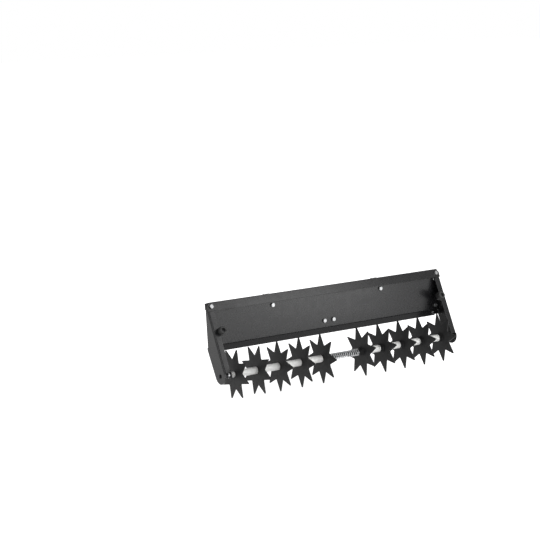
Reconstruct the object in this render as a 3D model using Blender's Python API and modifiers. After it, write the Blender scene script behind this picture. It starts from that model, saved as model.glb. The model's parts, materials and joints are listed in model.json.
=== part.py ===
"""Spike aerator module: ten star wheels on a fixed axle, under a folded panel between two steel end plates.

Metres, +Z up. X runs along the axle and -Y is the front, where the stars show. The origin lies midway between
the seats of the two hanger hooks, on the rail that carries the module. The sizes here are taken from the
middle of the axle, and everything hangs on one empty that sets the axle at its place under the rail.
"""

import math

import bmesh
import bpy
from mathutils import Matrix, Vector

# Clearances
clearance = 0.0003  # between faces that bear on each other, and around a bolt
running_gap = 0.0005  # around the shaft, for what turns or slides on it

# Sheet and plate
overall_width = 1.0  # over the outer faces of the end plates
sheet_t = 0.0025
plate_t = 0.004
plate_bend_r = 0.0055  # outside, must be more than plate_t
bend_relief = 0.001
bend_steps = 4

# End plate, seen from the side: y to the rear and z up from the axle
slope = math.radians(27.5)  # of the front flange, from upright
lean = math.radians(6.0)  # of the rear flange and the panel, from upright
lobe_centre = Vector((0.001, 0.002))
lobe_r = 0.0296
lobe_steps = 16
front_len = 0.2425  # of the front fold, up from the lobe
crest_over = 0.0019  # of the panel's crest, beyond the front fold's end
rear_flange_down = 0.0266  # of the rear flange's top, below the crest
rear_corner_down = 0.009  # of the web's rear corner, below the bend of the panel's lip
front_flange_w = 0.024
rear_flange_w = 0.046
tab_len = 0.015

# Panel
strip_w = 0.0304  # of the return strip, down its slope
hem_r = 0.0008
hem_steps = 8
lip_bend_z = 0.082
lip_slope = math.radians(42.5)
lip_len = 0.0183
lip_bend_r = 0.003
lip_bend_steps = 3
lip_end_in = 0.0305  # from the outer face of the end plate
notch_in = 0.032  # as far in, and down from the crest, the panel is cut back behind the strip, for the nuts
notch_down = 0.0281
crest_cut = (0.011, 0.013)  # off the outer corners of the strip, across and down its slope from the crest

# Axle and its bearings in the end plates
shaft_r = 0.007
shaft_steps = 24
bush_spigot_r = 0.0078
bush_boss_r = 0.011
bush_boss_len = 0.022
bush_bore_depth = 0.016
bush_recess = 0.0005  # of its closed end, below the plate's face
washer_r = 0.013
washer_t = 0.004
washer_in = 0.038  # of its inner face, from the outer face of the end plate
pin_r = 0.002
pin_wall = 0.0006
pin_len = 0.022
pin_slot = math.radians(40)

# Star wheels
star_pitch = 0.09
first_star_x = 0.0855
star_t = 0.004
star_teeth = 8
star_tip_r = 0.086
star_tip_flat = 0.003
star_valley_r = 0.048
star_valley_fillet = 0.004
star_valley_steps = 4
collar_r = 0.015
collar_len = 0.0095
weld_w = 0.003
# How far each star is turned, in degrees, from the left; its top tooth tips to the front
star_turns = (9.1, 8.6, -8.5, -8.1, -8.4, -20.3, -18.1, -16.2, -15.6, -14.7)

# Spacers and spring
spacer_r = 0.01225
spacer_wall = 0.0035
end_spacer_r = 0.0105
end_spacer_least = 0.006  # its shortest length, which sets how many stars fit on one side
spring_wire_r = 0.0015
spring_r = 0.0105  # to the middle of the wire
spring_pitch = 0.0084
spring_end_pitch = 0.0033
spring_points_per_turn = 14
seat_r = 0.014
seat_t = 0.002

# Rubber buffers
buffer_in = 0.029  # from the outer face of the end plate
buffer_up = 0.1413  # along the front flange, from its lower end
buffer_r = 0.013
buffer_len = 0.0195
buffer_edge = 0.0012
buffer_recess_r = 0.0065
buffer_recess = 0.006
ear_margin = 0.001
ear_steps = 12

# Hanger hooks and latch bracket
hook_x = 0.233
hook_w = 0.024
hook_t = 0.004
hook_foot_down = 0.015  # below its bolt
hook_seat_up = 0.029  # above its bolt
hook_slot = 0.031
hook_tip = 0.025  # below the seat
hook_bend_r = 0.002
bracket_bend_steps = 3
latch_w = 0.064
latch_foot_up = 0.008  # above the bend of the panel's lip
latch_tongue_up = 0.033  # above the foot
latch_tongue = 0.042

# Fasteners: shank radius, head across flats, head height, nut height
bolt_r = 0.004
bolt_flats = 0.013
bolt_head = 0.0053
nut_t = 0.0065
bolt_end = 0.0025  # beyond the nut or the plate
screw_r = 0.003
screw_flats = 0.010
screw_head = 0.004
pan_head_r = 0.0055
pan_head = 0.0035
corner_bolt_in = 0.0155  # from the outer face of the end plate
corner_bolt_down = 0.015  # from the upper end of the front fold
hook_bolt_down = 0.0416  # below the crest
latch_bolt_x = 0.0195
latch_bolt_up = 0.0195  # above the latch's foot
tab_bolt_in = 0.018  # from the outer face of the end plate
tab_bolt_up = 0.019  # of the lower one, above the bend of the panel's lip
tab_bolt_down = 0.0095  # of the upper one, below the rear flange's top
lip_screw_in = 0.0365  # from the outer face of the end plate
lip_screw_down = 0.0092  # along the lip, from its bend

half_width = overall_width / 2
lip_end_x = half_width - lip_end_in
notch_x = half_width - notch_in
washer_x = half_width - washer_in
buffer_x = half_width - buffer_in
corner_bolt_x = half_width - corner_bolt_in
corner_bolt_up = front_len - corner_bolt_down
tab_bolt_x = half_width - tab_bolt_in
lip_screw_x = half_width - lip_screw_in
bolt_hole_r = bolt_r + clearance
screw_hole_r = screw_r + clearance
cut_margin = 0.01  # how far a cutter stands out of what it cuts

# Directions in the side view, as (y, z)
slope_up = Vector((math.sin(slope), math.cos(slope)))
slope_out = Vector((-slope_up.y, slope_up.x))
back_up = Vector((math.sin(lean), math.cos(lean)))
back_out = Vector((back_up.y, -back_up.x))
lip_down = Vector((-math.sin(lip_slope), -math.cos(lip_slope)))
lip_front = Vector((lip_down.y, -lip_down.x))
panel_face = -(plate_t + clearance + sheet_t)  # the panel's front face, from the rear flange's outer face
side_view = Matrix(((0, 0, 1), (1, 0, 0), (0, 1, 0))).to_4x4()  # a drawing's x, y, z to the part's y, z, x


def front_line(up, out=0.0):
    """A point of the side view: this far up the front fold from the lobe, and out of its plane."""
    return lobe_centre + slope_out * (lobe_r + out) + slope_up * up


panel_apex = front_line(front_len + crest_over, clearance)
crest_back = panel_apex - back_out * panel_face  # straight behind the crest, in the rear flange's outer face


def back_line(z, out=0.0):
    """The point of the rear flange's outer face at this height, and then out of that face."""
    return crest_back + back_up * ((z - crest_back.y) / back_up.y) + back_out * out


def meeting(point, direction, other, other_direction):
    """Where two lines of the side view cross."""
    across = direction.x * other_direction.y - direction.y * other_direction.x
    apart = other - point
    return point + direction * ((apart.x * other_direction.y - apart.y * other_direction.x) / across)


panel_foot = back_line(lip_bend_z, panel_face)  # where the lip bends off
rear_corner = back_line(lip_bend_z - rear_corner_down)
rear_flange_top_z = panel_apex.y - rear_flange_down
notch_z = panel_apex.y - notch_down
tab_bolt_zs = {"lower": lip_bend_z + tab_bolt_up, "upper": rear_flange_top_z - tab_bolt_down}
hook_bolt_z = panel_apex.y - hook_bolt_down
hook_foot_z = hook_bolt_z - hook_foot_down
hook_seat_z = hook_bolt_z + hook_seat_up
latch_foot_z = lip_bend_z + latch_foot_up
latch_bolt_z = latch_foot_z + latch_bolt_up
latch_tongue_z = latch_foot_z + latch_tongue_up
hook_corner = back_line(hook_seat_z)
rail_centre = Vector((hook_corner.x + hook_slot / 2, hook_seat_z))


def make_material(name, colour, roughness, metallic):
    material = bpy.data.materials.new(name)
    material.use_nodes = True
    shader = material.node_tree.nodes["Principled BSDF"]
    shader.inputs["Base Color"].default_value = (*colour, 1)
    shader.inputs["Roughness"].default_value = roughness
    shader.inputs["Metallic"].default_value = metallic
    material.diffuse_color = (*colour, 1)
    return material


def evaluated_mesh(obj):
    """The object's mesh with its modifiers applied and loose caps welded; the object is removed."""
    graph = bpy.context.evaluated_depsgraph_get()
    mesh = bpy.data.meshes.new_from_object(obj.evaluated_get(graph))
    bm = bmesh.new()
    bm.from_mesh(mesh)
    bmesh.ops.remove_doubles(bm, verts=bm.verts, dist=1e-6)
    bm.to_mesh(mesh)
    bm.free()
    bpy.data.objects.remove(obj)
    return mesh


def temporary(data):
    obj = bpy.data.objects.new("temporary", data)
    bpy.context.scene.collection.objects.link(obj)
    return obj


def outline_mesh(loops, thickness):
    """A flat outline with its holes, as thick as given, in the XY plane and centred on it."""
    curve = bpy.data.curves.new("outline", "CURVE")
    curve.dimensions = "2D"
    curve.fill_mode = "BOTH"
    curve.extrude = thickness / 2
    for loop in loops:
        spline = curve.splines.new("POLY")
        spline.points.add(len(loop) - 1)
        for point, place in zip(spline.points, loop):
            point.co = (place[0], place[1], 0, 1)
        spline.use_cyclic_u = True
    return evaluated_mesh(temporary(curve))


def turned_mesh(profile, steps):
    """A profile of (radius, z), down its outer side, turned about Z. It closes on the axis or on itself."""
    bm = bmesh.new()
    verts = [bm.verts.new((radius, 0, z)) for radius, z in profile]
    for first, second in zip(verts, verts[1:]):
        bm.edges.new((first, second))
    if profile[0][0] > 0:
        bm.edges.new((verts[-1], verts[0]))
    mesh = bpy.data.meshes.new("profile")
    bm.to_mesh(mesh)
    bm.free()
    obj = temporary(mesh)
    screw = obj.modifiers.new("turn", "SCREW")
    screw.steps = screw.render_steps = steps
    screw.use_merge_vertices = True
    screw.merge_threshold = 1e-6
    return evaluated_mesh(obj)


def cylinder_mesh(radius, low, high, segments):
    bm = bmesh.new()
    middle = Matrix.Translation((0, 0, (low + high) / 2))
    bmesh.ops.create_cone(
        bm, cap_ends=True, segments=segments, radius1=radius, radius2=radius, depth=high - low, matrix=middle
    )
    mesh = bpy.data.meshes.new("cylinder")
    bm.to_mesh(mesh)
    bm.free()
    return mesh


def box_mesh(low, high):
    bm = bmesh.new()
    bmesh.ops.create_cube(bm, size=1)
    bmesh.ops.scale(bm, vec=Vector(high) - Vector(low), verts=bm.verts)
    bmesh.ops.translate(bm, vec=(Vector(high) + Vector(low)) / 2, verts=bm.verts)
    mesh = bpy.data.meshes.new("box")
    bm.to_mesh(mesh)
    bm.free()
    return mesh


def combined(mesh, tools, operation):
    """The mesh with each tool joined to it or cut from it."""
    obj = temporary(mesh)
    cutters = [temporary(tool) for tool in tools]
    for cutter in cutters:
        boolean = obj.modifiers.new(operation.lower(), "BOOLEAN")
        boolean.operation = operation
        boolean.object = cutter
    result = evaluated_mesh(obj)
    for cutter in cutters:
        bpy.data.objects.remove(cutter)
    return result


def mirrored(mesh):
    """The same mesh for the other end."""
    copy = mesh.copy()
    copy.transform(Matrix.Scale(-1, 4, (1, 0, 0)))
    copy.flip_normals()
    return copy


def facing(x, place, direction):
    """The matrix of a piece whose +Z looks along a direction of the side view."""
    turn = Vector((0, *direction)).to_track_quat("Z", "X").to_matrix().to_4x4()
    return Matrix.Translation((x, *place)) @ turn


def along_axle(x, side):
    """The matrix of a turned piece whose +Z runs along the axle, towards this side."""
    return Matrix.Translation((x, 0, 0)) @ Matrix.Rotation(side * math.pi / 2, 4, "Y")


def hole(x, place, direction, radius, depth, segments=24):
    """A cutter for a round hole from just outside this place inwards."""
    mesh = cylinder_mesh(radius, -depth, cut_margin, segments)
    mesh.transform(facing(x, place, direction))
    return mesh


def add_part(name, mesh, material, matrix, smooth=True):
    mesh.name = name
    if not mesh.materials:
        mesh.materials.append(material)
    if smooth:
        mesh.shade_smooth()
        mesh.set_sharp_from_angle(angle=math.radians(35))
    obj = bpy.data.objects.new(name, mesh)
    parts.objects.link(obj)
    obj.parent = axle_frame
    obj.matrix_basis = matrix
    return obj


def rounded(points, radii, steps):
    """The open path through these points with its inner corners as arcs."""
    path = [points[0]]
    for before, corner, after, radius, count in zip(points, points[1:], points[2:], radii, steps):
        back, on = (before - corner).normalized(), (after - corner).normalized()
        half = back.angle(on) / 2
        centre = corner + (back + on).normalized() * radius / math.sin(half)
        start = corner + back * radius / math.tan(half) - centre
        end = corner + on * radius / math.tan(half) - centre
        sweep = math.atan2(start.x * end.y - start.y * end.x, start.dot(end))
        path += [centre + Matrix.Rotation(sweep * k / count, 2) @ start for k in range(count + 1)]
    return path + [points[-1]]


def offset_points(points, distance):
    """The path moved to its right by this distance, with mitred corners."""
    directions = [(b - a).normalized() for a, b in zip(points, points[1:])]
    rights = [Vector((d.y, -d.x)) for d in directions]
    moved = [points[0] + rights[0] * distance]
    for corner, first, second in zip(points[1:-1], rights, rights[1:]):
        moved.append(corner + (first + second) * distance / (1 + first.dot(second)))
    return moved + [points[-1] + rights[-1] * distance]


def folded_outline(points, radii, steps, thickness, side):
    """The edge view of a folded sheet: the path is its inner face, with the sheet to its right for side 1."""
    inner = rounded(points, radii, steps)
    outer = rounded(offset_points(points, side * thickness), [r + thickness for r in radii], steps)
    return inner + outer[::-1]


def panel_mesh():
    """The panel: lip, face, hem and return strip, trimmed at the ends and drilled."""
    lip_end = panel_foot + lip_down * lip_len
    strip_end = front_line(front_len - strip_w, clearance)
    points = [lip_end, panel_foot, panel_apex, strip_end]
    outline = folded_outline(points, (lip_bend_r, hem_r), (lip_bend_steps, hem_steps), sheet_t, 1)
    mesh = outline_mesh([outline], overall_width)
    mesh.transform(side_view)
    far = overall_width
    inside_plate = half_width - plate_bend_r - clearance  # clear of the fold's inner corner
    tools = []
    for side in (-1, 1):
        # Everything behind the strip ends at the plates, and higher up at the nuts.
        for low_x, low_z in ((inside_plate, -far), (notch_x, notch_z)):
            behind = outline_mesh([behind_strip(low_z)], half_width)
            behind.transform(side_view)
            behind.transform(Matrix.Translation((side * (low_x + half_width / 2), 0, 0)))
            tools.append(behind)
        inner, outer = sorted((side * lip_end_x, side * far))
        lip_top = panel_foot.y + lip_bend_r
        tools.append(box_mesh((inner, -far, -far), (outer, far, lip_top)))
        tools.append(crest_corner_cutter(side))
        corner_place = front_line(corner_bolt_up)
        tools.append(hole(side * corner_bolt_x, corner_place, slope_out, bolt_hole_r, cut_margin))
        rear_bolts = [(hook_x, hook_bolt_z), (latch_bolt_x, latch_bolt_z)]
        rear_bolts += [(tab_bolt_x, z) for z in tab_bolt_zs.values()]
        for x, z in rear_bolts:
            tools.append(hole(side * x, back_line(z, panel_face), -back_out, bolt_hole_r, cut_margin))
        screw_place = panel_foot + lip_down * lip_screw_down
        tools.append(hole(side * lip_screw_x, screw_place, lip_front, screw_hole_r, cut_margin))
    return combined(mesh, tools, "DIFFERENCE")


def behind_strip(low_z):
    """Outline of all that lies behind the strip and above this height."""
    reach = overall_width
    gap = clearance / 2
    top = front_line(reach, gap)
    if low_z < 0:
        bottom = front_line(-reach, gap)
        return [bottom, bottom + back_out * 3 * reach, top + back_out * 3 * reach, top]
    cut = meeting(front_line(0, gap), slope_up, Vector((0, low_z)), Vector((1, 0)))
    return [cut, cut + Vector((3 * reach, 0)), top + Vector((3 * reach, 0)), top]


def crest_corner_cutter(side):
    """A wedge across the strip that takes off its outer upper corner."""
    top = front_len + crest_over + cut_margin
    across = crest_cut[0] * (1 + cut_margin / crest_cut[1])
    outer = side * (half_width + cut_margin)
    low = top - cut_margin - crest_cut[1] * (1 + cut_margin / crest_cut[0])
    mesh = outline_mesh([[(side * (half_width - across), top), (outer, top), (outer, low)]], 2 * cut_margin)
    turn = Matrix(((1, 0, 0), (0, slope_up.x, slope_out.x), (0, slope_up.y, slope_out.y))).to_4x4()
    mesh.transform(Matrix.Translation((0, *front_line(0))) @ turn)
    return mesh


def tangent_point(centre, radius, point):
    """Where the line from a point above and behind the circle touches it, at the rear."""
    towards = point - centre
    turn = math.acos(radius / towards.length)
    return centre + Matrix.Rotation(-turn, 2) @ towards.normalized() * radius


def end_plate_mesh():
    """The right end plate: an open surface of web, folds and flanges, given its thickness and drilled."""
    bm = bmesh.new()
    face_x = half_width

    def vert(x, place):
        return bm.verts.new((x, place.x, place.y))

    def fold_row(line, along):
        """The points round a fold from the web to the flange, at one end of it."""
        turns = [math.pi / 2 * k / bend_steps for k in range(bend_steps + 1)]
        return [
            vert(face_x + plate_bend_r * (math.cos(a) - 1), line(along, plate_bend_r * (math.sin(a) - 1)))
            for a in turns
        ]

    # Front fold and flange, with the ear that carries the buffer
    front_low, front_high = fold_row(front_line, 0), fold_row(front_line, front_len)
    for k in range(bend_steps):
        bm.faces.new((front_low[k], front_low[k + 1], front_high[k + 1], front_high[k]))
    edge_x = face_x - front_flange_w
    ear_r = buffer_r + ear_margin
    ear_angle = math.acos((buffer_x - edge_x) / ear_r)
    ear = [
        vert(buffer_x - ear_r * math.cos(a), front_line(buffer_up + ear_r * math.sin(a)))
        for a in (ear_angle * (2 * k / ear_steps - 1) for k in range(ear_steps + 1))
    ]
    edge_low, edge_high = vert(edge_x, front_line(0)), vert(edge_x, front_line(front_len))
    bm.faces.new([front_low[-1], edge_low, *ear, edge_high, front_high[-1]])

    # Rear fold and flange, and the tab that follows the panel's lip
    tab_bend = meeting(back_line(0), back_up, panel_foot - lip_front * -panel_face, lip_down)
    tab_bend_r = lip_bend_r - panel_face
    tab_points = [back_line(rear_flange_top_z), tab_bend, tab_bend + lip_down * tab_len]
    tab_path = rounded(tab_points, (tab_bend_r,), (lip_bend_steps,))
    low_z = tab_path[1].y

    rear_low, rear_high = fold_row(back_line, low_z), fold_row(back_line, rear_flange_top_z)
    for k in range(bend_steps):
        bm.faces.new((rear_low[k], rear_low[k + 1], rear_high[k + 1], rear_high[k]))
    edge_x = face_x - rear_flange_w
    tab_inner = [vert(edge_x, place) for place in tab_path[1:]]
    tab_outer = [vert(face_x - plate_bend_r - bend_relief, place) for place in tab_path[1:]]
    high = vert(edge_x, back_line(rear_flange_top_z))
    bm.faces.new((rear_low[-1], tab_outer[0], tab_inner[0], high, rear_high[-1]))
    for k in range(len(tab_inner) - 1):
        bm.faces.new((tab_inner[k], tab_outer[k], tab_outer[k + 1], tab_inner[k + 1]))

    # Web, with a relief at the end of each fold
    rear_touch = tangent_point(lobe_centre, lobe_r, rear_corner)
    start = math.pi - slope + math.asin(bend_relief / lobe_r)
    end = math.atan2(*(rear_touch - lobe_centre).yx) + 2 * math.pi
    angles = [start + (end - start) * k / lobe_steps for k in range(lobe_steps + 1)]
    lobe = [vert(face_x, lobe_centre + Vector((math.cos(a), math.sin(a))) * lobe_r) for a in angles]
    fold = -plate_bend_r
    rear_top = meeting(front_line(front_len), -slope_out, rear_corner, back_up)
    web = [front_low[0], vert(face_x, front_line(-bend_relief, fold)), *lobe, vert(face_x, rear_corner)]
    web += [vert(face_x, back_line(low_z - bend_relief, out)) for out in (0, fold)]
    web += [rear_low[0], rear_high[0]]
    web += [vert(face_x, back_line(rear_flange_top_z + bend_relief, out)) for out in (fold, 0)]
    web += [vert(face_x, rear_top), front_high[0]]
    web_face = bm.faces.new(web)

    bmesh.ops.recalc_face_normals(bm, faces=bm.faces)
    web_face.normal_update()
    if web_face.normal.x < 0:
        bmesh.ops.reverse_faces(bm, faces=bm.faces)
    mesh = bpy.data.meshes.new("end_plate")
    bm.to_mesh(mesh)
    bm.free()
    obj = temporary(mesh)
    solidify = obj.modifiers.new("thickness", "SOLIDIFY")
    solidify.thickness = plate_t
    solidify.offset = -1
    solidify.use_even_offset = True
    solidify.use_quality_normals = True
    shell = evaluated_mesh(obj)

    bush_hole = cylinder_mesh(bush_spigot_r + clearance, -cut_margin, cut_margin, 32)
    bush_hole.transform(along_axle(face_x, 1))
    tools = [
        bush_hole,
        hole(corner_bolt_x, front_line(corner_bolt_up), slope_out, bolt_hole_r, cut_margin),
        hole(buffer_x, front_line(buffer_up), slope_out, screw_hole_r, cut_margin),
        hole(lip_screw_x, panel_foot + lip_down * lip_screw_down, lip_front, screw_hole_r, 2 * cut_margin),
    ]
    for z in tab_bolt_zs.values():
        tools.append(hole(tab_bolt_x, back_line(z, -plate_t), -back_out, bolt_hole_r, cut_margin))
    return combined(shell, tools, "DIFFERENCE")


def star_mesh():
    """A star wheel: its disc across Z, a tooth along X, and its collar and weld on the +Z side."""
    pitch = 2 * math.pi / star_teeth
    tip_angle = star_tip_flat / 2 / star_tip_r
    outline = []
    for tooth in range(star_teeth):
        middle = tooth * pitch

        def at(radius, angle):
            return Vector((radius * math.cos(middle + angle), radius * math.sin(middle + angle)))

        valley = at(star_valley_r, pitch / 2)
        ends = at(star_tip_r, tip_angle), at(star_tip_r, pitch - tip_angle)
        outline += rounded([ends[0], valley, ends[1]], (star_valley_fillet,), (star_valley_steps,))
    disc = outline_mesh([outline], star_t)
    top = star_t / 2 + collar_len
    collar = turned_mesh(
        [(0, top), (collar_r, top), (collar_r, star_t / 2 + weld_w), (collar_r + weld_w, star_t / 2),
         (collar_r + weld_w, 0), (0, 0)],
        24,
    )
    bore = cylinder_mesh(shaft_r + running_gap, -cut_margin, top + cut_margin, shaft_steps)
    return combined(combined(disc, [collar], "UNION"), [bore], "DIFFERENCE")


def ring_mesh(outer, inner, length, steps=24):
    """A plain tube from z = 0 up."""
    return turned_mesh([(inner, length), (outer, length), (outer, 0), (inner, 0)], steps)


def spring_curve(length):
    """The spring's wire, standing on z = 0, with one close turn at each end."""
    rise = length - 2 * spring_wire_r - 2 * spring_end_pitch
    open_turns = max(1, round(rise / spring_pitch))
    turns = open_turns + 2
    count = turns * spring_points_per_turn
    curve = bpy.data.curves.new("spring", "CURVE")
    curve.dimensions = "3D"
    curve.bevel_depth = spring_wire_r
    curve.bevel_resolution = 2
    curve.use_fill_caps = True
    spline = curve.splines.new("POLY")
    spline.points.add(count)
    for k, point in enumerate(spline.points):
        turn = k / spring_points_per_turn
        opened = min(max(turn - 1, 0), open_turns)
        z = spring_wire_r + (turn - opened) * spring_end_pitch + opened * rise / open_turns
        angle = 2 * math.pi * turn
        point.co = (spring_r * math.cos(angle), spring_r * math.sin(angle), z, 1)
    return curve


def bolt_mesh(shank_r, flats, head, shank):
    """A hexagon bolt: head from z = 0 up, shank down."""
    hexagon = cylinder_mesh(flats / math.sqrt(3), 0, head, 6)
    return combined(hexagon, [cylinder_mesh(shank_r, -shank, head / 2, 16)], "UNION")


def nut_mesh():
    """A hexagon nut from z = 0 up."""
    across = bolt_flats / math.sqrt(3)
    hexagon = [(across * math.cos(math.pi * k / 3), across * math.sin(math.pi * k / 3)) for k in range(6)]
    bore_r = bolt_r + clearance
    bore = [(bore_r * math.cos(math.pi * k / 8), bore_r * math.sin(math.pi * k / 8)) for k in range(16)]
    mesh = outline_mesh([hexagon, bore], nut_t)
    mesh.transform(Matrix.Translation((0, 0, nut_t / 2)))
    return mesh


def pin_mesh():
    """A slotted spring pin, upright and centred."""
    def arc(radius, count):
        angles = [pin_slot / 2 + (2 * math.pi - pin_slot) * k / count for k in range(count + 1)]
        return [(radius * math.cos(a), radius * math.sin(a)) for a in angles]

    return outline_mesh([arc(pin_r, 14) + arc(pin_r - pin_wall, 14)[::-1]], pin_len)


for old in list(bpy.data.objects):
    bpy.data.objects.remove(old)

parts = bpy.data.collections.new("spike_aerator")
bpy.context.scene.collection.children.link(parts)
axle_frame = bpy.data.objects.new("axle_frame", None)
axle_frame.location = (0, -rail_centre.x, -rail_centre.y)
parts.objects.link(axle_frame)

powder_coat = make_material("powder_coat", (0.055, 0.055, 0.057), 0.45, 0.0)
star_steel = make_material("star_steel", (0.02, 0.02, 0.021), 0.4, 0.0)
zinc = make_material("zinc", (0.62, 0.62, 0.63), 0.3, 1.0)
white_plastic = make_material("white_plastic", (0.78, 0.78, 0.77), 0.45, 0.0)
black_plastic = make_material("black_plastic", (0.015, 0.015, 0.015), 0.4, 0.0)
rubber = make_material("rubber", (0.025, 0.025, 0.025), 0.7, 0.0)
black_zinc = make_material("black_zinc", (0.03, 0.03, 0.03), 0.4, 1.0)

# Housing
add_part("main_panel", panel_mesh(), powder_coat, Matrix(), smooth=False)
right_plate = end_plate_mesh()
add_part("right_end_plate", right_plate, powder_coat, Matrix(), smooth=False)
add_part("left_end_plate", mirrored(right_plate), powder_coat, Matrix(), smooth=False)

# Hanger hooks and latch bracket, each one bent flat bar
hook_inner = [back_line(hook_foot_z), hook_corner, hook_corner + Vector((hook_slot, 0))]
hook_inner.append(hook_inner[-1] - Vector((0, hook_tip)))
bends, steps = (hook_bend_r, hook_bend_r), (bracket_bend_steps, bracket_bend_steps)
hook = outline_mesh([folded_outline(hook_inner, bends, steps, hook_t, -1)], hook_w)
hook.transform(side_view)
hook = combined(hook, [hole(0, back_line(hook_bolt_z), back_out, bolt_hole_r, cut_margin)], "DIFFERENCE")
latch_corner = back_line(latch_tongue_z)
latch_inner = [back_line(latch_foot_z), latch_corner, latch_corner + Vector((latch_tongue, 0))]
latch = outline_mesh([folded_outline(latch_inner, bends[:1], steps[:1], hook_t, -1)], latch_w)
latch.transform(side_view)
latch_holes = [
    hole(side * latch_bolt_x, back_line(latch_bolt_z), back_out, bolt_hole_r, cut_margin) for side in (-1, 1)
]
add_part("latch_bracket", combined(latch, latch_holes, "DIFFERENCE"), powder_coat, Matrix(), smooth=False)

# Axle
web_x = half_width - plate_t  # the web's inner face
boss_x = web_x - clearance
bore_x = boss_x - bush_boss_len + bush_bore_depth
shaft_end = bore_x - clearance
pin_x = washer_x + washer_t + clearance + pin_r
shaft = cylinder_mesh(shaft_r, -shaft_end, shaft_end, shaft_steps)
pin_holes = []
for side in (-1, 1):
    pin_hole = cylinder_mesh(pin_r + clearance, -cut_margin, cut_margin, 14)
    pin_hole.transform(Matrix.Translation((0, 0, side * pin_x)) @ Matrix.Rotation(math.pi / 2, 4, "Y"))
    pin_holes.append(pin_hole)
add_part("axle_shaft", combined(shaft, pin_holes, "DIFFERENCE"), zinc, along_axle(0, 1))

# Pieces that share one mesh at both ends
star = star_mesh()
room = washer_x - clearance - end_spacer_least - clearance - star_t / 2 - first_star_x
stars_per_side = 1 + int(room / star_pitch)
spacer_len = star_pitch - star_t - collar_len - 2 * clearance
spacer = ring_mesh(spacer_r, spacer_r - spacer_wall, spacer_len)
last_star_x = first_star_x + (stars_per_side - 1) * star_pitch
end_spacer_x = last_star_x + star_t / 2 + clearance
end_spacer = ring_mesh(end_spacer_r, shaft_r + running_gap, washer_x - clearance - end_spacer_x)
seat_x = first_star_x - star_t / 2 - collar_len - clearance - seat_t
seat = ring_mesh(seat_r, shaft_r + running_gap, seat_t)
washer = ring_mesh(washer_r, shaft_r + clearance, washer_t)
bush_profile = [
    (0, half_width - bush_recess - boss_x),
    (bush_spigot_r, half_width - bush_recess - boss_x),
    (bush_spigot_r, 0),
    (bush_boss_r, 0),
    (bush_boss_r, -bush_boss_len),
    (shaft_r + clearance, -bush_boss_len),
    (shaft_r + clearance, bore_x - boss_x),
    (0, bore_x - boss_x),
]
bush = turned_mesh(bush_profile, 32)
pin = pin_mesh()
nut = nut_mesh()
stack = sheet_t + clearance + hook_t + clearance + nut_t + bolt_end
through_bolt = bolt_mesh(bolt_r, bolt_flats, bolt_head, stack + clearance)
tab_bolt = bolt_mesh(bolt_r, bolt_flats, bolt_head, sheet_t + plate_t + 2 * clearance + bolt_end)
lip_screw = bolt_mesh(screw_r, screw_flats, screw_head, sheet_t + plate_t + 2 * clearance + bolt_end)
buffer = turned_mesh(
    [
        (screw_hole_r, buffer_len - buffer_recess),
        (buffer_recess_r, buffer_len - buffer_recess),
        (buffer_recess_r, buffer_len),
        (buffer_r - buffer_edge, buffer_len),
        (buffer_r, buffer_len - buffer_edge),
        (buffer_r, 0),
        (screw_hole_r, 0),
    ],
    32,
)
buffer_screw_len = buffer_len - buffer_recess + plate_t + 2 * clearance + bolt_end
buffer_screw = turned_mesh(
    [
        (0, pan_head),
        (pan_head_r / 2, pan_head),
        (pan_head_r, pan_head / 2),
        (pan_head_r, 0),
        (screw_r, 0),
        (screw_r, -buffer_screw_len),
        (0, -buffer_screw_len),
    ],
    20,
)

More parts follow.
